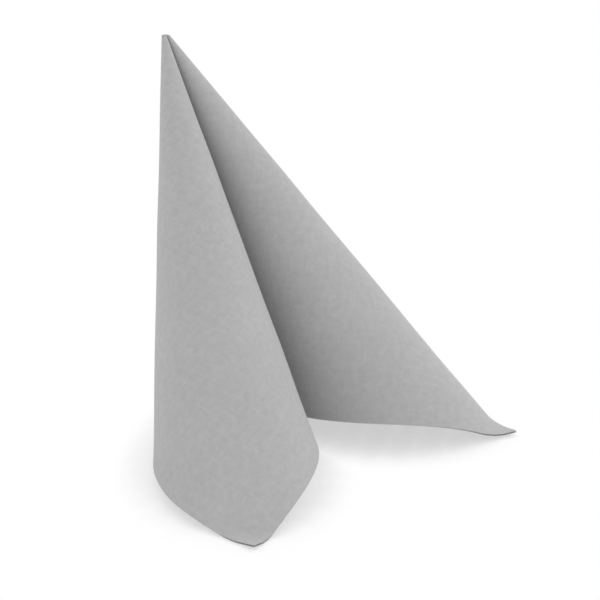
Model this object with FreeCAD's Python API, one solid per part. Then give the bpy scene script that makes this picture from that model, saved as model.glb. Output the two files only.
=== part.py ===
import FreeCAD, Part

# Paper napkin: one square sheet, folded and stood up like an open book.
#
# The flat square is folded in half. Both ends of the folded edge are brought down to the middle of the
# open edge, and the triangle this gives is folded once down its middle, the spine. It stands on the foot
# of the spine and on the corners of its two wings, which bend and lie down on the table. The middle of
# the sheet is the crown, and the sheet runs down from it in straight rays, so every place on the paper is
# known by two numbers: its angle from the spine (0 at the spine, 45 on a wing's ridge, 90 at the edge of
# a flap) and its share of the way from the crown to the cut edge.
#
# Millimetres, +Z up, origin under the middle of the napkin on the table. The spine is at the back (+Y),
# the wings open towards the front (-Y).

import math
import os

from FreeCAD import Rotation, Vector

doc = FreeCAD.newDocument("Napkin")
sizes = doc.addObject("Spreadsheet::Sheet", "Sizes")

SIZES = (
    # the flat square and its paper
    ("SheetSide", 400.0),
    ("PaperThickness", 0.3),
    ("PlyGap", 0.25),
    # the spine: how far it leans from upright, towards which side, and how far each wing turns forward at it
    ("SpineLeanAngle", 5.33),
    ("SpineLeanSideAngle", -87.2),
    ("SpineTurnAngle", 35.0),
    # bend of the wings: of the soft ridge and how far it reaches, of the flap beside it and of its end
    ("LeftRidgeBendRatio", 5.456),
    ("LeftRidgeReachAngle", 37.1),
    ("LeftFlapBendRatio", 0.97),
    ("LeftFlapEndBendRatio", 0.23),
    ("RightRidgeBendRatio", 5.431),
    ("RightRidgeReachAngle", 37.7),
    ("RightFlapBendRatio", 0.92),
    ("RightFlapEndBendRatio", 0.14),
    # bent corners: how far down the ridge each starts to bend, and by how much it has turned at its tip
    ("LeftCornerStart", 261.5),
    ("LeftCornerTurnAngle", 46.6),
    ("RightCornerStart", 262.8),
    ("RightCornerTurnAngle", 47.1),
    # the crown, where eight layers lie side by side
    ("CrownPitch", 1.1),
    ("CrownLength", 4.5),
    ("CrownShoulder", 1.2),
    ("CrownDepth", 0.6),
)


def write_sizes():
    """Puts every size in a cell of its own with its name beside it."""
    for row, (name, value) in enumerate(SIZES, start=1):
        sizes.set("A%d" % row, name)
        sizes.set("B%d" % row, str(value))
        sizes.setAlias("B%d" % row, name)
    doc.recompute()


def size(name):
    return float(sizes.get(name))


write_sizes()

HALF_SIDE = size("SheetSide") / 2
HALF_GAP = size("PlyGap") / 2
HALF_WALL = HALF_GAP + size("PaperThickness")
APEX_HEIGHT = HALF_SIDE * math.cos(math.radians(size("SpineLeanAngle")))
APEX = Vector(0, 0, APEX_HEIGHT)
RIDGE = math.degrees(math.atan2(HALF_SIDE, HALF_SIDE))
FLAP_EDGE = 2 * RIDGE

# Degrees from one ray to the next, and how far from the spine the two wings' skins are drawn to each other
RAY_STEP = 0.1
MITRE_REACH = 20.0

# Angles from the spine at which the paper's place is worked out, closer together where it turns fast
OUTER_ANGLES = (0, 4, 8, 12, 16, 20, 24, 28, 31, 34, 37, 39, 41)
OUTER_CORNER_ANGLES = (41, 42.5, 44, RIDGE)
FLAP_CORNER_ANGLES = (RIDGE, 46, 47.5, 49)
FLAP_ANGLES = (49, 51, 53, 56, 59, 63, 67, 71, 75, 79, 83, 87, FLAP_EDGE)
# Bands from the crown to the cut edge, in shares of the way down; the last one holds the bent corners
BANDS = ((0, 0.02), (0.02, 0.08), (0.08, 0.3), (0.3, 0.915), (0.915, 1))
CORNER_BAND = (0.915, 0.945, 0.97, 1)
TURN_ANGLES = (0, 30, 60, 90, 120, 150, 180)


# The sheet's rays


def smooth(x):
    x = min(max(x, 0.0), 1.0)
    return x * x * (3 - 2 * x)


def hump(x):
    """1 in the middle, falling softly to 0 at -1 and 1."""
    return 0.5 * (1 + math.cos(math.pi * x)) if abs(x) < 1 else 0.0


def bend_at(side, angle):
    """How fast a wing turns at an angle from the spine."""
    flap = smooth((angle - 35) / 20)
    end = smooth((angle - 60) / 15)
    flat = flap * (size(side + "FlapBendRatio") * (1 - end) + size(side + "FlapEndBendRatio") * end)
    return flat + size(side + "RidgeBendRatio") * hump((angle - RIDGE) / size(side + "RidgeReachAngle"))


def spine_ray():
    lean = math.radians(size("SpineLeanAngle"))
    side = math.radians(size("SpineLeanSideAngle"))
    return Vector(math.sin(lean) * math.cos(side), math.sin(lean) * math.sin(side), -math.cos(lean))


def wing_rays(side):
    """Rays of one wing from the spine to its flap edge, each with its heading across the paper."""
    turn = 1 if side == "Right" else -1
    ray = spine_ray()
    forward = math.radians(size("SpineTurnAngle"))
    across = Vector(turn * math.cos(forward), -math.sin(forward), 0)
    across = (across - ray * across.dot(ray)).normalize()
    rays = [(ray, across)]
    step = math.radians(RAY_STEP)
    for i in range(round(FLAP_EDGE / RAY_STEP)):
        bend = turn * bend_at(side, (i + 0.5) * RAY_STEP)
        axis = ray * bend + ray.cross(across)
        turned = Rotation(axis, math.degrees(step * math.sqrt(1 + bend * bend)))
        ray = turned.multVec(ray)
        across = turned.multVec(across)
        rays.append((ray, across))
    return rays


RAYS = {side: wing_rays(side) for side in ("Left", "Right")}


def ray_at(side, angle):
    return RAYS[side][round(angle / RAY_STEP)]


def ray_length(angle):
    """From the middle of the sheet to its cut edge."""
    turned = math.radians(angle)
    return HALF_SIDE / max(math.cos(turned), math.sin(turned))


# The crown


def crown_legs():
    """Lengths and turns of the crown's right half: slope, shoulder, leg, hairpin and flap."""
    turn = math.radians(size("SpineTurnAngle"))
    around = 1.5 * size("CrownPitch")
    hairpin = 0.5 * size("CrownPitch")
    shoulder = size("CrownShoulder")
    slope = (around - shoulder * (1 - math.sin(turn))) / math.cos(turn)
    drop = slope * math.sin(turn) + shoulder * math.cos(turn)
    leg = size("CrownLength") - HALF_WALL / math.cos(turn) - drop - hairpin - HALF_WALL
    return (
        (slope, 0),
        (shoulder * (math.pi / 2 - turn), math.pi / 2 - turn),
        (leg, 0),
        (hairpin * math.pi, math.pi),
        (leg - HALF_WALL / 2, 0),
    )


def crown_path(angle):
    """Place and heading on the crown's right half, an angle from the spine."""
    legs = crown_legs()
    to_ridge = sum(length for length, _ in legs[:3]) + legs[3][0] / 2
    if angle <= RIDGE:
        way = math.tan(math.radians(angle)) * to_ridge
    else:
        past = 1 - math.tan(math.radians(FLAP_EDGE - angle))
        way = to_ridge + past * (legs[3][0] / 2 + legs[4][0])
    heading = -math.radians(size("SpineTurnAngle"))
    place = Vector(0, size("CrownLength") / 2 - HALF_WALL / math.cos(heading), 0)
    for length, turn in legs:
        share = max(0, min(way / length, 1))
        start = heading
        heading -= turn * share
        if turn:
            arc = Vector(math.sin(start) - math.sin(heading), math.cos(heading) - math.cos(start), 0)
            place += arc * (length / turn)
        else:
            place += Vector(math.cos(heading), math.sin(heading), 0) * (length * share)
        way -= length
    return place, Vector(math.cos(heading), math.sin(heading), 0)


def crown_at(side, angle):
    place, heading = crown_path(angle)
    if side == "Left":
        place.x = -place.x
        heading.x = -heading.x
    return place + APEX - Vector(0, 0, size("CrownDepth")), heading


# Places on the paper


def corner_turn(side, place):
    """Shift of a place in a wing's bent corner, and how the shift grows along the ridge."""
    ridge = ray_at(side, RIDGE)[0]
    flat = Vector(ridge.x, ridge.y, 0)
    up = (Vector(0, 0, flat.Length) - flat * (ridge.z / flat.Length)).normalize()
    start = size(side + "CornerStart")
    past = (place - APEX).dot(ridge) - start
    if past <= 0:
        return Vector(), Vector()
    radius = (HALF_SIDE * math.sqrt(2) - start) / math.radians(size(side + "CornerTurnAngle"))
    turned = past / radius
    shift = ridge * (radius * math.sin(turned) - past) + up * (radius * (1 - math.cos(turned)))
    growth = ridge * (math.cos(turned) - 1) + up * math.sin(turned)
    return shift, growth


def frame_at(side, angle, share):
    """Place on the middle of the doubled sheet, its outward normal and its heading across."""
    turn = 1 if side == "Right" else -1
    ray, across = ray_at(side, angle)
    crown, heading = crown_at(side, angle)
    edge = APEX + ray * ray_length(angle)
    place = crown + (edge - crown) * share
    if share == 0:
        return place, Vector(0, 0, turn).cross(heading), heading
    heading = heading * (size("CrownLength") * (1 - share)) + across * (ray_length(angle) * share)
    down = edge - crown
    shift, growth = corner_turn(side, place)
    ridge = ray_at(side, RIDGE)[0]
    down = down + growth * down.dot(ridge)
    heading = heading + growth * heading.dot(ridge)
    normal = heading.cross(down).normalize() * turn
    return place + shift, normal, down.cross(normal).normalize() * turn


def mitre(side, share):
    """How far a skin's edge at the spine slides along the paper, so that both wings' skins meet there."""
    _, normal, heading = frame_at(side, 0, share)
    mirrored = frame_at("Left" if side == "Right" else "Right", 0, share)[1]
    return mirrored.dot(heading) / (1 + normal.dot(mirrored))


def wall_point(side, angle, share, offset):
    place, normal, heading = frame_at(side, angle, share)
    near_spine = max(0, 1 - angle / MITRE_REACH)
    return place + (normal + heading * (mitre(side, share) * near_spine)) * offset


def turn_point(side, share, radius, turned):
    """Place on the round fold at a flap's edge, from its outer face (0) to its inner face (180)."""
    place, normal, heading = frame_at(side, FLAP_EDGE, share)
    turned = math.radians(turned)
    return place + normal * (radius * math.cos(turned)) + heading * (radius * math.sin(turned))


# Faces


def spline(points, parameters):
    curve = Part.BSplineCurve()
    curve.interpolate(Points=points, Parameters=[float(p) for p in parameters])
    return curve


def surface(grid, across, down):
    """Smooth surface through a grid of points: one row for each share, one column for each angle."""
    rows = [spline(row, across) for row in grid]
    columns = [spline(list(points), down) for points in zip(*[row.getPoles() for row in rows])]
    poles = [column.getPoles() for column in columns]
    result = Part.BSplineSurface()
    result.buildFromPolesMultsKnots(
        poles,
        rows[0].getMultiplicities(),
        columns[0].getMultiplicities(),
        rows[0].getKnots(),
        columns[0].getKnots(),
        False,
        False,
        rows[0].Degree,
        columns[0].Degree,
    )
    return result


def straighten(grid, rows, column):
    """Makes one side of a grid exactly straight, so that it meets the straight strip beside it."""
    first = grid[0][column]
    last = grid[-1][column]
    for row, share in zip(grid, rows):
        row[column] = first + (last - first) * ((share - rows[0]) / (rows[-1] - rows[0]))


def ruled(upper, lower, across):
    """Straight strip between two rows of points, evened out inside by how far it spreads where it bends."""
    rows = [spline(row, across) for row in (upper, lower)]
    middle = len(across) // 2
    bent = -1 if across[0] < RIDGE else 0
    ratio = (lower[bent] - lower[middle]).Length / (upper[bent] - upper[middle]).Length
    poles = [[high, low] for high, low in zip(rows[0].getPoles(), rows[1].getPoles())]
    result = Part.BSplineSurface()
    result.buildFromPolesMultsKnots(
        poles,
        rows[0].getMultiplicities(),
        [2, 2],
        rows[0].getKnots(),
        [0, 1],
        False,
        False,
        rows[0].Degree,
        1,
        [[ratio, 1]] * len(poles),
    )
    return result


class Strip:
    """A strip of wall from the crown to the cut edge, with its curves along both."""

    def __init__(self, point, across, corner=False):
        """point(share, angle) gives a place on the strip; a corner strip is not straight at its foot."""
        self.faces = []
        for band in BANDS:
            rows = CORNER_BAND if corner and band == BANDS[-1] else band
            grid = [[point(share, angle) for angle in across] for share in rows]
            if len(rows) > 2:
                straighten(grid, rows, 0 if across[0] < RIDGE else -1)
                self.faces.append(surface(grid, across, rows).toShape())
            else:
                self.faces.append(ruled(grid[0], grid[1], across).toShape())
        self.top = spline([point(0, angle) for angle in across], across)
        self.bottom = spline([point(1, angle) for angle in across], across)


def wall_strip(side, angles, offset, corner):
    return Strip(lambda share, angle: wall_point(side, angle, share, offset), angles, corner)


def turn_strip(side, radius):
    return Strip(lambda share, turned: turn_point(side, share, radius, turned), TURN_ANGLES)


def loop_strips(half):
    """The closed loop of strips at one distance from the middle of the doubled sheet."""
    strips = []
    for side in ("Right", "Left"):
        for offset in (half, -half):
            strips.append(wall_strip(side, OUTER_ANGLES, offset, False))
            strips.append(wall_strip(side, OUTER_CORNER_ANGLES, offset, True))
            strips.append(wall_strip(side, FLAP_CORNER_ANGLES, offset, True))
            strips.append(wall_strip(side, FLAP_ANGLES, offset, False))
        strips.append(turn_strip(side, half))
    return strips


def flat_face(curves, rise):
    edges = [curve.toShape() for curve in curves]
    for edge in edges:
        edge.translate(rise)
    return Part.Face(Part.Wire(Part.sortEdges(edges)[0]))


def napkin_shape():
    """The folded sheet: its outer skin, the skin of the gap between its layers, crown and cut edges."""
    outer = loop_strips(HALF_WALL)
    inner = loop_strips(HALF_GAP)
    rise = Vector(0, 0, size("CrownDepth"))
    faces = [face for strip in outer + inner for face in strip.faces]
    faces += [strip.top.toShape().extrude(rise) for strip in outer]
    faces.append(flat_face([strip.top for strip in outer], rise))
    faces.append(flat_face([strip.top for strip in inner], Vector()))
    for skin, lining in zip(outer, inner):
        faces.append(Part.makeRuledSurface(skin.bottom.toShape(), lining.bottom.toShape()))
    sewn = Part.makeCompound(faces)
    sewn.sewShape()
    solid = Part.Solid(sewn.Shells[0])
    if solid.Volume < 0:
        solid.reverse()
    return solid


def centred(shape):
    """Brings the origin under the middle of the shape, on the table."""
    box = shape.BoundBox
    shape.translate(Vector(-box.Center.x, -box.Center.y, -box.ZMin))
    return shape


napkin = doc.addObject("Part::Feature", "Napkin")
napkin.Label = "napkin"
napkin.Shape = centred(napkin_shape())
napkin.Placement = FreeCAD.Placement(napkin.Placement)

doc.recompute()
for item in doc.Objects:
    if "Invalid" in item.State or "Error" in item.State:
        raise ValueError("%s did not build" % item.Label)
if napkin.Shape.isNull() or not napkin.Shape.isValid():
    raise ValueError("the napkin is not a valid solid")

os.makedirs("parts", exist_ok=True)
napkin.Shape.exportStep("parts/%s.step" % napkin.Label)
print("napkin: volume %.0f mm3, box %s" % (napkin.Shape.Volume, napkin.Shape.BoundBox))
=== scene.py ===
# %% [markdown]
# A folded paper napkin, stood up like an open book
#
# The real thing is one square of soft paper. It is folded in half, both ends of the folded edge are brought
# down to the middle of the open edge, and the triangle this gives is folded down its middle and stood up.
# Paper bends but does not stretch, so every place on it lies on a straight ray that runs down from the
# crown, the middle of the flat sheet. That makes it easy to describe: an angle from the spine, and a share
# of the way down the ray.
#
# The lesson works out the rays, lays both layers of the sheet along them, softens what a hand would soften,
# gives the mesh a matte fibrous paper finish, and stands it on a white table in even light.

# %% Load the frame that the napkin rides on
import math

import bpy
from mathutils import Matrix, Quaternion, Vector, kdtree, noise


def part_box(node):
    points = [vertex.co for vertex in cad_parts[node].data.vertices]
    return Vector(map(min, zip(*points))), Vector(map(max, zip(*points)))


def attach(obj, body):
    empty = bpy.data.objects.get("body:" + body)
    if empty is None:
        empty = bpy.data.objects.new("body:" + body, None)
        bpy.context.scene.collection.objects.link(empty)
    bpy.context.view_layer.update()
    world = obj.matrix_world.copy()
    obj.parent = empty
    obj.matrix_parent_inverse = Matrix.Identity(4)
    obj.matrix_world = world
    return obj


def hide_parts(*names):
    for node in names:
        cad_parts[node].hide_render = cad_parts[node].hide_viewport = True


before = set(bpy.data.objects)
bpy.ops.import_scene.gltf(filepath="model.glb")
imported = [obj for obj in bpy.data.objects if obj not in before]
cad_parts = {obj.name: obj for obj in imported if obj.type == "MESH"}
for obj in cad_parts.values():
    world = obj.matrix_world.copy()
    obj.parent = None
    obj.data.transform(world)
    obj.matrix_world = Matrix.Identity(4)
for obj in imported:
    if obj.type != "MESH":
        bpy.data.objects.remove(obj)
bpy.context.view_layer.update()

MM = 0.001
node_low, node_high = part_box("napkin")
print("the napkin's box, in mm:", [round((b - a) / MM, 1) for a, b in zip(node_low, node_high)])

# %% [markdown]
# The sheet and its paper
#
# A dinner napkin is a 40 cm square. Folded in half it is two layers thick everywhere, with a little air
# between the layers. Each layer is soft tissue pressed into a sheet, about a third of a millimetre thick.
# Angles on it are in degrees from the spine: the ridge of each wing is the diagonal of the square.

# %% The sheet and its paper
HALF_SIDE = 200 * MM
PAPER = 0.3 * MM
HALF_GAP = 0.125 * MM
HALF_WALL = HALF_GAP + PAPER
RIDGE = 45.0
FLAP_EDGE = 90.0
RIGHT, LEFT = 1, -1


def ray_length(angle):
    """From the middle of the flat sheet to its cut edge, at an angle from the spine."""
    turned = math.radians(angle)
    return HALF_SIDE / max(math.cos(turned), math.sin(turned))


print("the sheet is", 2 * HALF_SIDE, "m square, its longest ray is", round(ray_length(RIDGE), 4), "m")

# %% [markdown]
# Rays of the two wings
#
# The spine leans a little, and each wing turns forward at it. Going on from the spine, the paper runs
# nearly flat, bends round a soft ridge at 45 degrees, and comes back as a flap that ends at 90 degrees.
# Each small step turns the ray in the paper's own plane and rolls the paper about the ray at the same time.
# That keeps every angle of the flat sheet, so the result can always be unfolded again. A cloth simulation
# would only come near to that.

# %% How fast the paper bends
# for each wing: how fast the ridge bends and over how many degrees to each side, how fast the flap bends, and
# how fast the flap's end does
BENDS = {RIGHT: (5.431, 37.7, 0.92, 0.14), LEFT: (5.456, 37.1, 0.97, 0.23)}
# degrees where the flap's bend and its end's bend set in, and over how many degrees they do
FLAP_FROM, FLAP_OVER = 35, 20
END_FROM, END_OVER = 60, 15


def smooth(x):
    """0 below 0 and 1 above 1, with a soft rise between them."""
    x = min(max(x, 0.0), 1.0)
    return x * x * (3 - 2 * x)


def hump(x):
    """1 in the middle, falling softly to 0 at -1 and 1."""
    return 0.5 * (1 + math.cos(math.pi * x)) if abs(x) < 1 else 0.0


def bend_at(side, angle):
    """How fast a wing rolls up at an angle from the spine, in degrees for each degree of the flat sheet."""
    ridge, reach, flap, flap_end = BENDS[side]
    end = smooth((angle - END_FROM) / END_OVER)
    flat = smooth((angle - FLAP_FROM) / FLAP_OVER) * (flap * (1 - end) + flap_end * end)
    return flat + ridge * hump((angle - RIDGE) / reach)


print("at its ridge the right wing rolls by", round(bend_at(RIGHT, RIDGE), 2), "degrees for each degree")

# %% Rays of the two wings
SPINE_LEAN = 5.33
SPINE_LEAN_SIDE = -87.2
SPINE_TURN = 35.0
RAY_STEP = 0.1


def wing_rays(side):
    """Rays of one wing from the spine to its flap edge, each with its heading across the paper."""
    lean, lean_side, forward = (math.radians(a) for a in (SPINE_LEAN, SPINE_LEAN_SIDE, SPINE_TURN))
    out = math.sin(lean)
    ray = Vector((out * math.cos(lean_side), out * math.sin(lean_side), -math.cos(lean)))
    across = Vector((side * math.cos(forward), -math.sin(forward), 0))
    across = (across - ray * across.dot(ray)).normalized()
    rays = [(ray, across)]
    step = math.radians(RAY_STEP)
    for i in range(round(FLAP_EDGE / RAY_STEP)):
        bend = side * bend_at(side, (i + 0.5) * RAY_STEP)
        axis = (ray * bend + ray.cross(across)).normalized()
        turned = Quaternion(axis, step * math.sqrt(1 + bend * bend))
        ray, across = (turned @ ray).normalized(), (turned @ across).normalized()
        rays.append((ray, across))
    return rays


RAYS = {side: wing_rays(side) for side in (RIGHT, LEFT)}
APEX = Vector((0, 0, HALF_SIDE * math.cos(math.radians(SPINE_LEAN))))


def ray_at(side, angle):
    return RAYS[side][round(angle / RAY_STEP)]


def foot_at(side, angle):
    return APEX + ray_at(side, angle)[0] * ray_length(angle)


for side, name in ((RIGHT, "right"), (LEFT, "left")):
    feet = [round(foot_at(side, angle).z / MM, 1) for angle in (0, RIDGE, FLAP_EDGE)]
    print(name, "wing: spine foot, ridge foot and flap foot stand at", feet, "mm")

# %% [markdown]
# The crown
#
# At the very top all the rays would meet in one point, but paper has thickness: eight layers of it have to
# lie side by side there. So the rays start on a small folded path instead of a point. From the spine it
# slopes forward, rounds a shoulder, runs along a leg, turns back in a hairpin and comes back beside itself
# as the flap.

# %% The crown
CROWN_PITCH = 1.1 * MM
CROWN_LENGTH = 4.5 * MM
CROWN_SHOULDER = 1.2 * MM
CROWN_DEPTH = 0.6 * MM


def crown_legs():
    """Lengths and turns of the crown's right half: slope, shoulder, leg, hairpin and flap."""
    turn = math.radians(SPINE_TURN)
    hairpin = CROWN_PITCH / 2
    leg_out = 1.5 * CROWN_PITCH
    slope = (leg_out - CROWN_SHOULDER * (1 - math.sin(turn))) / math.cos(turn)
    drop = slope * math.sin(turn) + CROWN_SHOULDER * math.cos(turn)
    leg = CROWN_LENGTH - HALF_WALL / math.cos(turn) - drop - hairpin - HALF_WALL
    shoulder_turn = math.pi / 2 - turn
    return (
        (slope, 0),
        (CROWN_SHOULDER * shoulder_turn, shoulder_turn),
        (leg, 0),
        (hairpin * math.pi, math.pi),
        (leg - HALF_WALL / 2, 0),
    )


def crown_at(side, angle):
    """Place and heading on the crown's path. The ridge starts half way round the hairpin."""
    legs = crown_legs()
    slope, shoulder, leg, hairpin, flap = (length for length, _ in legs)
    to_ridge = slope + shoulder + leg + hairpin / 2
    if angle <= RIDGE:
        way = math.tan(math.radians(angle)) * to_ridge
    else:
        way = to_ridge + (1 - math.tan(math.radians(FLAP_EDGE - angle))) * (hairpin / 2 + flap)
    heading = -math.radians(SPINE_TURN)
    place = Vector((0, CROWN_LENGTH / 2 - HALF_WALL / math.cos(heading), 0))
    for length, turn in legs:
        share = max(0, min(way / length, 1))
        start = heading
        heading -= turn * share
        if turn:
            arc = Vector((math.sin(start) - math.sin(heading), math.cos(heading) - math.cos(start), 0))
            place += arc * (length / turn)
        else:
            place += Vector((math.cos(heading), math.sin(heading), 0)) * (length * share)
        way -= length
    place.x *= side
    place = place + APEX - Vector((0, 0, CROWN_DEPTH))
    return place, Vector((side * math.cos(heading), math.sin(heading), 0))


print("the crown is", [round(length / MM, 2) for length, _ in crown_legs()], "mm long, leg by leg")

# %% [markdown]
# Places on the doubled sheet
#
# A place needs three things: where it is, which way is out, and which way is across the paper. Where the
# two long corners meet the table they bend and lie down on it, because the napkin stands on them. The
# corner is bent round a level line like a page that is turned up, so it keeps its length too.

# %% Places on the doubled sheet
# for each wing: how far down its corner starts to bend, over how much paper, by how much, and how far askew
CORNERS = {RIGHT: (265.3 * MM, 14 * MM, 55.0, 0.0), LEFT: (261.5 * MM, 10 * MM, 59.8, -12.5)}
UP = Vector((0, 0, 1))


def corner_turn(side, place):
    """Shift of a place in a wing's bent corner, how the shift grows, and the way along which it does."""
    start, reach, turn, skew = CORNERS[side]
    ridge, across = ray_at(side, RIDGE)
    skew = math.radians(skew)
    along = ridge * math.cos(skew) + across * math.sin(skew)
    up = (UP - along * along.z).normalized()
    past = (place - APEX).dot(along) - start
    if past <= 0:
        return Vector(), Vector(), along
    radius = reach / math.radians(turn)
    turned = min(past, reach) / radius
    straight = max(past - reach, 0)
    forward = radius * math.sin(turned) + straight * math.cos(turned)
    rise = radius * (1 - math.cos(turned)) + straight * math.sin(turned)
    shift = along * (forward - past) + up * rise
    growth = along * (math.cos(turned) - 1) + up * math.sin(turned)
    return shift, growth, along


def frame_at(side, angle, share):
    """Place on the middle of the doubled sheet, its outward normal and its heading across."""
    ray, across = ray_at(side, angle)
    crown, heading = crown_at(side, angle)
    down = foot_at(side, angle) - crown
    place = crown + down * share
    if share == 0:
        return place, Vector((0, 0, side)).cross(heading), heading
    heading = heading * (CROWN_LENGTH * (1 - share)) + across * (ray_length(angle) * share)
    shift, growth, along = corner_turn(side, place)
    down = down + growth * down.dot(along)
    heading = heading + growth * heading.dot(along)
    normal = heading.cross(down).normalized() * side
    return place + shift, normal, down.cross(normal).normalized() * side


place, normal, heading = frame_at(LEFT, RIDGE, 0.5)
print("half way down the left ridge the paper faces", [round(v, 2) for v in normal])

# %% [markdown]
# What a hand leaves in the paper
#
# Soft paper is never as even as geometry. Long shallow waves run down from the crown, smaller dents lie
# across them, and near the cut edge the two layers part a little. All of it comes from smooth noise that is
# read by the place on the flat sheet, so it is the same each time, and it fades out at the crown and along
# the spine, where the paper is held. The left wing is also pressed in a little on its outer side, and it
# swells out towards its cut edge on both sides of the ridge.

# %% Waves, dents and bulges
# waves: their depth, their width in degrees, how fast they change down a ray, and their part of the noise
WAVE_DEPTH, WAVE_ANGLE, WAVE_DOWN, WAVE_SEED = 0.5 * MM, 13.0, 1.3, 3.7
WAVE_AT_CROWN = 0.35
DENT_DEPTH, DENT_SIZE, DENT_SEED = 0.45 * MM, 38 * MM, 0.011
# held down to which share of a ray, let go over which share, and held over how many degrees from the spine
HELD_FROM, HELD_OVER, HELD_SPINE = 0.04, 0.35, 9
# corners: how calm, over how many degrees, from which share of the ray, and over which share it sets in
CALM, CALM_ANGLE, CALM_FROM, CALM_OVER = 0.8, 9, 0.8, 0.15
# on the left wing: the angle from the spine, the half width in degrees, how far out, and how late it sets in
LEFT_BULGES = ((27.0, 13.0, -1.8 * MM, 2), (38.0, 7.0, 1.6 * MM, 6), (53.0, 9.0, 0.9 * MM, 6))


def bulge(angle, share, middle, width, out, late):
    return out * share**late * hump((angle - middle) / width)


def softness(side, angle, share):
    """How far a place on the sheet stands off the even cone. The corners on the table stay calm."""
    reach = ray_length(angle) * share
    turned = math.radians(angle)
    wave = noise.noise(Vector((angle / WAVE_ANGLE, WAVE_DOWN * share, WAVE_SEED * side)))
    growing = WAVE_AT_CROWN + (1 - WAVE_AT_CROWN) * share
    flat = Vector((reach * math.cos(turned), side * reach * math.sin(turned), DENT_SEED))
    dent = noise.noise(flat / DENT_SIZE)
    held = smooth((share - HELD_FROM) / HELD_OVER) * smooth(angle / HELD_SPINE)
    corner = 1 - CALM * hump((angle - RIDGE) / CALM_ANGLE) * smooth((share - CALM_FROM) / CALM_OVER)
    out = held * corner * (WAVE_DEPTH * wave * growing + DENT_DEPTH * dent)
    if side == LEFT:
        out += sum(bulge(angle, share, *row) for row in LEFT_BULGES)
    return out


samples = [round(softness(LEFT, angle, 0.8) / MM, 2) for angle in range(0, 91, 15)]
print("softness across the left wing, in mm:", samples)

# %% Layers that part
# how far at most, from which share of the ray, and over which share it sets in
PARTING, PARTING_FROM, PARTING_OVER = 0.25 * MM, 0.8, 0.2
PARTING_ANGLE, PARTING_SEED, PARTING_ROW = 7.0, 5.1, 0.4
# the folds at the spine and at the flap edge keep the layers together over so many degrees
TIGHT_AT_SPINE, TIGHT_AT_FLAP = 6, 8


def parting(side, angle, share):
    """How far each layer has moved away from the middle near the cut edge."""
    open_here = 0.5 + noise.noise(Vector((angle / PARTING_ANGLE, PARTING_SEED * side, PARTING_ROW)))
    held = smooth(angle / TIGHT_AT_SPINE) * smooth((FLAP_EDGE - angle) / TIGHT_AT_FLAP)
    return PARTING * smooth((share - PARTING_FROM) / PARTING_OVER) * held * max(open_here, 0)


samples = [round(parting(LEFT, angle, 1) / MM, 2) for angle in range(0, 91, 15)]
print("parting along the left wing's cut edge, in mm:", samples)

# %% [markdown]
# Rings round the doubled sheet
#
# The sheet is built like a very flat bag. One skin is its outside, another is the lining of the air between
# its layers. A ring of points is laid round each of them, row by row from the crown to the cut edge, and
# the rings are joined with quads. The points are closer together where the paper turns fast: at the spine,
# at the corners and at the round folds along the flap edges.

# %% Places across and down the sheet
# every degree, and closer together at the spine and at the corners
SPINE_ANGLES = [0, 0.2, 0.4, 0.6, 0.8, 1.1, 1.5, 2, 3]
CORNER_ANGLES = [40 + 0.5 * i for i in range(21)]
ANGLES = SPINE_ANGLES + list(range(4, 40)) + CORNER_ANGLES + list(range(51, 91))
# every fiftieth of a ray, and closer together at the crown and near the cut edge
CROWN_SHARES = [0, 0.004, 0.008, 0.014, 0.02, 0.03, 0.04, 0.055, 0.07, 0.085]
SHARES = CROWN_SHARES + [0.1 + 0.02 * i for i in range(41)] + [0.915 + 0.005 * i for i in range(18)]
KEYS = [(side, angle, share) for side in RAYS for angle in ANGLES for share in SHARES]
SHEET = {key: frame_at(*key) for key in KEYS}
print(len(ANGLES), "angles and", len(SHARES), "shares give", len(SHEET), "places")

# %% Points on a skin
# where a point lies about the sheet, in degrees: outside, inside, or on the round fold at the flap edge
OUT, IN = 0, 180
ROUND_TURNS = (30, 60, 90, 120, 150)
MITRE_REACH = 20.0


def mitre_at(share):
    """How far the skins slide along the paper, so that both wings' skins meet at the spine."""
    _, right_out, right_heading = SHEET[RIGHT, 0, share]
    left_out = SHEET[LEFT, 0, share][1]
    return left_out.dot(right_heading) / (1 + right_out.dot(left_out))


MITRES = {share: mitre_at(share) for share in SHARES}


def skin_point(side, angle, turned, share, half):
    """A place on a skin that lies half a wall or half a gap from the middle of the doubled sheet."""
    place, normal, heading = SHEET[side, angle, share]
    place = place + normal * softness(side, angle, share)
    half = half + parting(side, angle, share)
    if turned in (OUT, IN):
        slide = MITRES[share] * max(0, 1 - angle / MITRE_REACH)
        return place + (normal + heading * slide) * (half if turned == OUT else -half)
    bow = math.radians(turned)
    return place + normal * (half * math.cos(bow)) + heading * (half * math.sin(bow))


print("at the cut edge the skins slide by", round(MITRES[SHARES[-1]], 2), "of their distance from the middle")

# %% Columns of a ring
# one ring: out along the right wing, back inside it, out inside the left wing, back along it
COLUMNS = [(RIGHT, angle, OUT) for angle in ANGLES]
COLUMNS += [(RIGHT, FLAP_EDGE, turned) for turned in ROUND_TURNS]
COLUMNS += [(RIGHT, angle, IN) for angle in reversed(ANGLES)]
COLUMNS += [(LEFT, angle, IN) for angle in ANGLES[1:]]
COLUMNS += [(LEFT, FLAP_EDGE, turned) for turned in reversed(ROUND_TURNS)]
COLUMNS += [(LEFT, angle, OUT) for angle in reversed(ANGLES[1:])]
NUMBER = {(side, float(angle), turned): i for i, (side, angle, turned) in enumerate(COLUMNS)}
for turned in (OUT, IN):
    NUMBER[LEFT, 0.0, turned] = NUMBER[RIGHT, 0.0, turned]

print("each ring has", len(COLUMNS), "points, each skin has", len(SHARES), "rings")

# %% [markdown]
# A spine pressed by hand
#
# The two wings meet in a sharp line at the spine. A fold in tissue is a little rounder than that, so the
# few points next to the line are evened out along each ring.

# %% A spine pressed by hand
SPINE_PASSES = 5
SPINE_SOFT = 0.7


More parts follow.
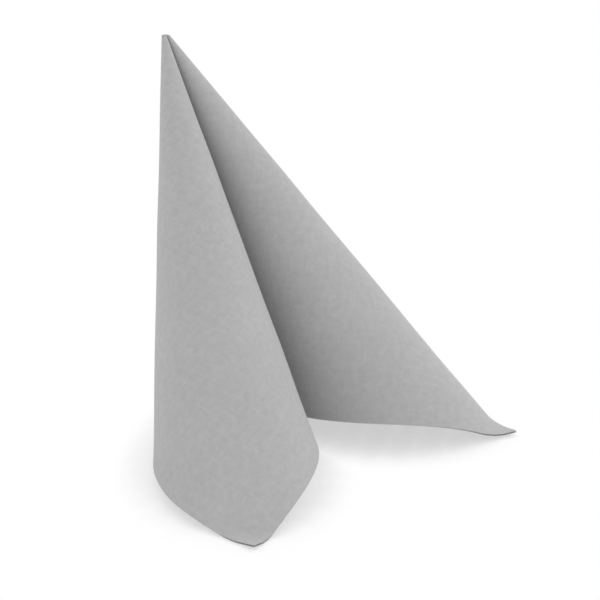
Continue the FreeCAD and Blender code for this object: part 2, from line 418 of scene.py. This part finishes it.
def press_spine(ring):
    """Rounds a ring where it passes the spine, outside and inside."""
    soft = [i for i, (_, angle, turned) in enumerate(COLUMNS) if angle <= SPINE_SOFT and turned in (OUT, IN)]
    for _ in range(SPINE_PASSES):
        before = list(ring)
        for i in soft:
            ring[i] = before[i] * 0.5 + (before[i - 1] + before[(i + 1) % len(ring)]) * 0.25
    return ring


def ring_at(share, half):
    return press_spine([skin_point(*column, share, half) for column in COLUMNS])


spine_width = ray_length(0) * math.radians(2 * SPINE_SOFT)
print("the spine is rounded over", round(spine_width / MM, 1), "mm at its foot")

# %% [markdown]
# One closed mesh
#
# The outer skin closes over each layer at the crown in a small round, the lining is closed by strips across
# its gap, and a ring of narrow faces joins both skins along the cut edge. Each point keeps its place on the
# flat sheet as its texture coordinate, in metres, so the paper's fibres will run over the folds as they
# really do.

# %% Over the crown
CAP_TURNS = (84, 70, 50, 25)


def cap_rings():
    """Rings that close the skin over the crown, from the top down to its sides."""
    rings = []
    for turned in CAP_TURNS:
        bow = math.radians(turned)
        ring = press_spine([skin_point(*column, 0, HALF_WALL * math.cos(bow)) for column in COLUMNS])
        rings.append([point + UP * (CROWN_DEPTH * math.sin(bow)) for point in ring])
    return rings


def strips_across(first):
    """Faces that close a ring over the doubled sheet's width. first is the ring's first point."""
    faces = []
    for side in RAYS:
        opposite = [(NUMBER[side, float(angle), OUT], NUMBER[side, float(angle), IN]) for angle in ANGLES]
        for turned in ROUND_TURNS[:2]:
            opposite.append((NUMBER[side, FLAP_EDGE, turned], NUMBER[side, FLAP_EDGE, IN - turned]))
        for (a, b), (c, d) in zip(opposite, opposite[1:]):
            faces.append((first + a, first + c, first + d, first + b))
        tip = NUMBER[side, FLAP_EDGE, ROUND_TURNS[2]]
        faces.append((first + opposite[-1][0], first + tip, first + opposite[-1][1]))
    return faces


print("the crown is closed by", len(strips_across(0)), "faces in strips, over", len(CAP_TURNS), "rings")

# %% Points and faces of the sheet
AROUND = len(COLUMNS)


def quads_between(upper, lower):
    """Faces between two rings, each given by its first point."""
    steps = [(i, (i + 1) % AROUND) for i in range(AROUND)]
    return [(upper + i, upper + j, lower + j, lower + i) for i, j in steps]


def flat_place(column, share):
    """Where a column's point lies on the flat sheet, in metres. The inner layer lies beyond the flap edge."""
    side, angle, turned = column
    if turned == IN:
        angle = 2 * FLAP_EDGE - angle
    reach = share * ray_length(min(angle, 2 * FLAP_EDGE - angle))
    return reach * math.cos(math.radians(angle)), side * reach * math.sin(math.radians(angle))


def build_sheet():
    """Points and faces of the doubled sheet, and each point's place on the flat sheet."""
    caps = cap_rings()
    skin = caps + [ring_at(share, HALF_WALL) for share in SHARES]
    lining = [ring_at(share, HALF_GAP) for share in SHARES]
    points = [point for ring in skin + lining for point in ring]
    firsts = list(range(0, len(points), AROUND))
    skin_firsts, lining_firsts = firsts[:len(skin)], firsts[len(skin):]
    faces = []
    for rings in (skin_firsts, lining_firsts):
        for upper, lower in zip(rings, rings[1:]):
            faces += quads_between(upper, lower)
    faces += quads_between(skin_firsts[-1], lining_firsts[-1])
    faces += strips_across(skin_firsts[0]) + strips_across(lining_firsts[0])
    shares = [0] * len(caps) + SHARES + SHARES
    flat = [flat_place(column, share) for share in shares for column in COLUMNS]
    return points, faces, flat


points, faces, flat = build_sheet()
print("the sheet has", len(points), "points and", len(faces), "faces")

# %% [markdown]
# Standing it on the table
#
# The frame says where the napkin's box is. The mesh is moved there by the middle of its own box, and its
# feet are set on the table. The waves may push a foot down by a hair, so nothing is left below the table.

# %% Standing it on the table
low = Vector([min(point[k] for point in points) for k in range(3)])
high = Vector([max(point[k] for point in points) for k in range(3)])
to_frame = Vector((
    (node_low[0] + node_high[0] - low.x - high.x) / 2,
    (node_low[1] + node_high[1] - low.y - high.y) / 2,
    0,
))
points = [point + to_frame for point in points]
for point in points:
    point.z = max(point.z, 0.0)
print("the sheet is moved by", [round(v / MM, 2) for v in to_frame], "mm")

# %% [markdown]
# From points to a mesh
#
# The points and faces become one mesh, shaded smooth. Only where two faces meet at more than 50 degrees, as
# along the cut edge, the shading breaks, because a cut through paper is sharp.

# %% From points to a mesh
SHARP_ANGLE = 50
mesh = bpy.data.meshes.new("folded_napkin")
mesh.from_pydata(points, [], faces)
mesh.update()
uv = mesh.uv_layers.new(name="flat_sheet")
for loop in mesh.loops:
    uv.data[loop.index].uv = flat[loop.vertex_index]
for polygon in mesh.polygons:
    polygon.use_smooth = True

scene = bpy.context.scene
napkin = bpy.data.objects.new("folded_napkin", mesh)
scene.collection.objects.link(napkin)
bpy.context.view_layer.objects.active = napkin
napkin.select_set(True)
bpy.ops.object.mode_set(mode="EDIT")
bpy.ops.mesh.select_all(action="SELECT")
bpy.ops.mesh.normals_make_consistent(inside=False)
bpy.ops.object.mode_set(mode="OBJECT")
mesh.set_sharp_from_angle(angle=math.radians(SHARP_ANGLE))
print("box of the mesh, in mm:", [round(v / MM, 1) for v in napkin.dimensions])

# %% [markdown]
# A helper for finishes
#
# A finish is a small net of nodes. This helper adds nodes and links them, so that each finish below reads
# from top to bottom. Its noise is read at a place on the flat sheet, and its size is given in metres.

# %% A helper for finishes
NOISE_LOW, NOISE_HIGH = 0.3, 0.7
NOISE_ROUGHNESS = 0.6


class Nodes:
    """A material with the nodes that make its finish."""

    def __init__(self, name):
        self.material = bpy.data.materials.new(name)
        self.material.use_nodes = True
        self.tree = self.material.node_tree
        self.shader = self.tree.nodes["Principled BSDF"]

    def add(self, kind, **settings):
        node = self.tree.nodes.new(kind)
        for name, value in settings.items():
            setattr(node, name, value)
        return node

    def link(self, source, target):
        self.tree.links.new(source, target)

    def clouds(self, place, size, detail, stretch=(1, 1, 1), turn=0.0):
        """Noise on the flat sheet, with features of about one size in metres."""
        mapping = self.add("ShaderNodeMapping")
        mapping.inputs["Rotation"].default_value = (0, 0, math.radians(turn))
        mapping.inputs["Scale"].default_value = stretch
        texture = self.add("ShaderNodeTexNoise")
        texture.inputs["Scale"].default_value = 1 / size
        texture.inputs["Detail"].default_value = detail
        texture.inputs["Roughness"].default_value = NOISE_ROUGHNESS
        self.link(place, mapping.inputs["Vector"])
        self.link(mapping.outputs["Vector"], texture.inputs["Vector"])
        return texture.outputs["Fac"]

    def math(self, operation, first, second):
        node = self.add("ShaderNodeMath", operation=operation)
        for value, socket in ((first, node.inputs[0]), (second, node.inputs[1])):
            if isinstance(value, (int, float)):
                socket.default_value = value
            else:
                self.link(value, socket)
        return node.outputs[0]

    def spread(self, value, low, high):
        """Noise mostly lies between 0.3 and 0.7. This makes it a value between low and high."""
        node = self.add("ShaderNodeMapRange")
        node.inputs["From Min"].default_value = NOISE_LOW
        node.inputs["From Max"].default_value = NOISE_HIGH
        node.inputs["To Min"].default_value = low
        node.inputs["To Max"].default_value = high
        self.link(value, node.inputs["Value"])
        return node.outputs["Result"]


print("noise between", NOISE_LOW, "and", NOISE_HIGH, "is spread over the range that a finish asks for")

# %% [markdown]
# The paper
#
# The paper is soft, matte and grey, with cloudy density, short fibres that lie crosswise and a faint fuzz.
# Seen from a metre away that is a very fine mottle. All of it is made from noise on the flat sheet: wide
# clouds and a fine mottle vary the grey, and two sets of stretched noise make the fibres, which also lift
# the surface a little. A picture texture could do it too, but noise has no edge and no repeat.

# %% The paper
PAPER_GREY = 0.43
# sizes of what shows in the paper, and how far each makes the grey darker and lighter
DENSITY_SIZE, DENSITY_SPREAD = 50 * MM, (0.975, 1.025)
MOTTLE_SIZE, MOTTLE_SPREAD = 3.5 * MM, (0.94, 1.06)
FIBRE_SIZE, CROSS_FIBRE_SIZE, FIBRE_SPREAD = 1.6 * MM, 1.8 * MM, (0.96, 1.045)
# fibres are noise stretched along one way on the sheet, and turned by so many degrees
FIBRE_STRETCH, FIBRE_TURN = (1, 0.14, 1), 24
CROSS_FIBRE_STRETCH, CROSS_FIBRE_TURN = (0.16, 1, 1), -31
DETAIL, MOTTLE_DETAIL = 3, 4
BUMP_STRENGTH, BUMP_HEIGHT, MOTTLE_LIFT = 0.35, 0.3 * MM, 0.5
ROUGHNESS_SPREAD = (0.88, 0.98)
SHINE = 0.25
FUZZ, FUZZ_ROUGHNESS = 0.12, 0.6


def paper_finish():
    """Soft grey tissue, matte, with a mottle and crossing fibres."""
    paper = Nodes("soft_grey_paper")
    place = paper.add("ShaderNodeUVMap", uv_map="flat_sheet").outputs["UV"]
    density = paper.clouds(place, DENSITY_SIZE, DETAIL)
    mottle = paper.clouds(place, MOTTLE_SIZE, MOTTLE_DETAIL)
    lengthwise = paper.clouds(place, FIBRE_SIZE, DETAIL, FIBRE_STRETCH, FIBRE_TURN)
    crosswise = paper.clouds(place, CROSS_FIBRE_SIZE, DETAIL, CROSS_FIBRE_STRETCH, CROSS_FIBRE_TURN)
    fibres = paper.math("MAXIMUM", lengthwise, crosswise)
    grey = PAPER_GREY
    for value, spread in ((density, DENSITY_SPREAD), (mottle, MOTTLE_SPREAD), (fibres, FIBRE_SPREAD)):
        grey = paper.math("MULTIPLY", paper.spread(value, *spread), grey)
    colour = paper.add("ShaderNodeCombineColor")
    for channel in ("Red", "Green", "Blue"):
        paper.link(grey, colour.inputs[channel])
    paper.link(colour.outputs["Color"], paper.shader.inputs["Base Color"])
    bump = paper.add("ShaderNodeBump")
    bump.inputs["Strength"].default_value = BUMP_STRENGTH
    bump.inputs["Distance"].default_value = BUMP_HEIGHT
    lift = paper.math("ADD", paper.math("MULTIPLY", mottle, MOTTLE_LIFT), fibres)
    paper.link(lift, bump.inputs["Height"])
    paper.link(bump.outputs["Normal"], paper.shader.inputs["Normal"])
    paper.link(paper.spread(mottle, *ROUGHNESS_SPREAD), paper.shader.inputs["Roughness"])
    paper.shader.inputs["Specular IOR Level"].default_value = SHINE
    paper.shader.inputs["Sheen Weight"].default_value = FUZZ
    paper.shader.inputs["Sheen Roughness"].default_value = FUZZ_ROUGHNESS
    return paper.material


mesh.materials.append(paper_finish())
print("the paper's grey is", PAPER_GREY, "of the light")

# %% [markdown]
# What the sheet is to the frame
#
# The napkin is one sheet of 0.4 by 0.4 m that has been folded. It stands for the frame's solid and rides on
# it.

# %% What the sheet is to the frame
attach(napkin, "root")
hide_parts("napkin")
print("the folded sheet stands for the frame's napkin")

# %% [markdown]
# A white table
#
# The napkin stands on plain white. Light comes from all sides, so the only shadow that stays is the soft
# one under the wings and close around their cut edges. For the camera, the table is part pure white, which
# takes no light from anywhere: a share of it under the wings, and all of it two centimetres further out.
# How far each point of the table is from the ground under the wings is worked out on a grid that is fine
# there and wide outside.

# %% The grid of the table
FLOOR_HALF = 6.0
PATCH_HALF = 0.2
PATCH_STEPS = 80


def floor_grid():
    """Points and faces of the table, fine around the napkin."""
    fine = [PATCH_HALF * (2 * i / PATCH_STEPS - 1) for i in range(PATCH_STEPS + 1)]
    lines = [-FLOOR_HALF] + fine + [FLOOR_HALF]
    count = len(lines)
    places = [(x, y, 0) for y in lines for x in lines]
    corners = [row * count + column for row in range(count - 1) for column in range(count - 1)]
    quads = [(first, first + 1, first + count + 1, first + count) for first in corners]
    return places, quads


places, quads = floor_grid()
floor_mesh = bpy.data.meshes.new("table_top")
floor_mesh.from_pydata(places, [], quads)
print("a white table of", 2 * FLOOR_HALF, "m, with", len(quads), "faces")

# %% How white each place is
SHADOW_NEAR = 4 * MM
SHADOW_FAR = 22 * MM
WHITE_NEAR = 0.56
# the ground under the wings is taken every few degrees, in a few steps from wall to wall
GROUND_ANGLE = 3
GROUND_STEPS = 12


def ground_under_wings():
    """Places on the table between the outer wall's cut edge and the flap's, for both wings."""
    ground = []
    for side in RAYS:
        for angle in range(0, round(RIDGE) + 1, GROUND_ANGLE):
            outer = SHEET[side, angle, SHARES[-1]][0] + to_frame
            flap = SHEET[side, FLAP_EDGE - angle, SHARES[-1]][0] + to_frame
            ground += [outer.lerp(flap, i / GROUND_STEPS).xy.to_3d() for i in range(GROUND_STEPS + 1)]
    return ground


ground = ground_under_wings()
under = kdtree.KDTree(len(ground))
for i, point in enumerate(ground):
    under.insert(point, i)
under.balance()
white_share = floor_mesh.attributes.new("white_share", "FLOAT", "POINT")
for i, place in enumerate(places):
    away = (under.find(place)[2] - SHADOW_NEAR) / (SHADOW_FAR - SHADOW_NEAR)
    white_share.data[i].value = WHITE_NEAR + (1 - WHITE_NEAR) * smooth(away)
print("the ground under the wings is known at", len(ground), "places")

# %% The table's finish
TABLE_WHITE = 0.97


def table_finish():
    """White and matte, and for the camera part pure white."""
    table = Nodes("white_table")
    table.shader.inputs["Base Color"].default_value = (TABLE_WHITE, TABLE_WHITE, TABLE_WHITE, 1)
    table.shader.inputs["Roughness"].default_value = 1.0
    table.shader.inputs["Specular IOR Level"].default_value = 0.0
    white = table.add("ShaderNodeEmission")
    share = table.add("ShaderNodeAttribute", attribute_name="white_share").outputs["Fac"]
    seen = table.math("MULTIPLY", table.add("ShaderNodeLightPath").outputs["Is Camera Ray"], share)
    mixed = table.add("ShaderNodeMixShader")
    table.link(seen, mixed.inputs["Fac"])
    table.link(table.shader.outputs["BSDF"], mixed.inputs[1])
    table.link(white.outputs["Emission"], mixed.inputs[2])
    table.link(mixed.outputs["Shader"], table.tree.nodes["Material Output"].inputs["Surface"])
    return table.material


floor_mesh.materials.append(table_finish())
floor = bpy.data.objects.new("table_top", floor_mesh)
scene.collection.objects.link(floor)
print("the table gives back", TABLE_WHITE, "of the light")

# %% [markdown]
# Even light
#
# A white world does most of the lighting, like a room with pale walls. It is a little stronger from the
# right than from the left, so each wing gets a bright and a dim side, and the deep valley between them gets
# dark by itself. One large lamp adds to it from the right. The light is kept at a plain level and the view
# transform is Standard, so that the paper's grey comes out as it is written. The camera sees the world as
# pure white.

# %% Light from all sides
LIGHT_LEVEL = 0.98
LIGHT_SWING = 0.24
BRIGHT_SIDE = (0.85, 0.45, 0.2)
PURE_WHITE = (1, 1, 1, 1)
scene.view_settings.view_transform = "Standard"
world = bpy.data.worlds.new("cloudy_white")
world.use_nodes = True
sky = world.node_tree


def sky_node(kind, **settings):
    node = sky.nodes.new(kind)
    for name, value in settings.items():
        setattr(node, name, value)
    return node


plain = sky.nodes["Background"]
plain.inputs["Color"].default_value = PURE_WHITE
toward = sky_node("ShaderNodeVectorMath", operation="DOT_PRODUCT")
toward.inputs[1].default_value = Vector(BRIGHT_SIDE).normalized()
level = sky_node("ShaderNodeMath", operation="MULTIPLY_ADD")
level.inputs[1].default_value = LIGHT_SWING
level.inputs[2].default_value = LIGHT_LEVEL
white = sky_node("ShaderNodeBackground")
white.inputs["Color"].default_value = PURE_WHITE
mixed = sky_node("ShaderNodeMixShader")
sky.links.new(sky_node("ShaderNodeTexCoord").outputs["Generated"], toward.inputs[0])
sky.links.new(toward.outputs["Value"], level.inputs[0])
sky.links.new(level.outputs["Value"], plain.inputs["Strength"])
sky.links.new(sky_node("ShaderNodeLightPath").outputs["Is Camera Ray"], mixed.inputs["Fac"])
sky.links.new(plain.outputs["Background"], mixed.inputs[1])
sky.links.new(white.outputs["Background"], mixed.inputs[2])
sky.links.new(mixed.outputs["Shader"], sky.nodes["World Output"].inputs["Surface"])
scene.world = world
print("the sky's light goes from", LIGHT_LEVEL - LIGHT_SWING, "to", LIGHT_LEVEL + LIGHT_SWING)

# %% A lamp on the right
LAMP_PLACE = Vector((1.3, -0.2, 1.4))
LAMP_TARGET = Vector((0, 0, 0.1))
LAMP_SIDE = 1.6
LAMP_POWER = 3.5


def facing(direction):
    """The turn that makes a lamp or a camera look in a direction, with its top side up."""
    return direction.to_track_quat("-Z", "Y").to_euler()


lamp = bpy.data.lights.new("lamp_right", "AREA")
lamp.size = LAMP_SIDE
lamp.energy = LAMP_POWER
lamp_object = bpy.data.objects.new("lamp_right", lamp)
lamp_object.location = LAMP_PLACE
lamp_object.rotation_euler = facing(LAMP_TARGET - LAMP_PLACE)
scene.collection.objects.link(lamp_object)
print("one lamp of", LAMP_SIDE, "m,", round(LAMP_PLACE.length, 1), "m away")

# %% [markdown]
# The camera
#
# The picture looks down on the napkin by 20 degrees, from the side where one lobe is in front of the other,
# with a long lens from about a metre away. The place it looks at is measured from the crown.

# %% The camera
VIEW_TURN = -42.1
VIEW_DOWN = 19.8
VIEW_DISTANCE = 0.923
FOCAL_PIXELS = 1388.7
PICTURE_PIXELS = 600
SENSOR = 36.0
NEAREST = 10 * MM
CROWN_TO_TARGET = Vector((0.1408, 0.0497, -0.1960))

look_at = APEX + to_frame + CROWN_TO_TARGET
turn, down = math.radians(VIEW_TURN), math.radians(VIEW_DOWN)
back = Vector((math.sin(turn) * math.cos(down), -math.cos(turn) * math.cos(down), math.sin(down)))
camera = bpy.data.cameras.new("camera")
camera.sensor_width = SENSOR
camera.lens = SENSOR * FOCAL_PIXELS / PICTURE_PIXELS
camera.clip_start = NEAREST
camera_object = bpy.data.objects.new("camera", camera)
camera_object.location = look_at + back * VIEW_DISTANCE
camera_object.rotation_euler = facing(-back)
scene.collection.objects.link(camera_object)
scene.camera = camera_object
place = [round(v, 3) for v in camera_object.location]
print("the camera is at", place, "with a lens of", round(camera.lens, 1), "mm")
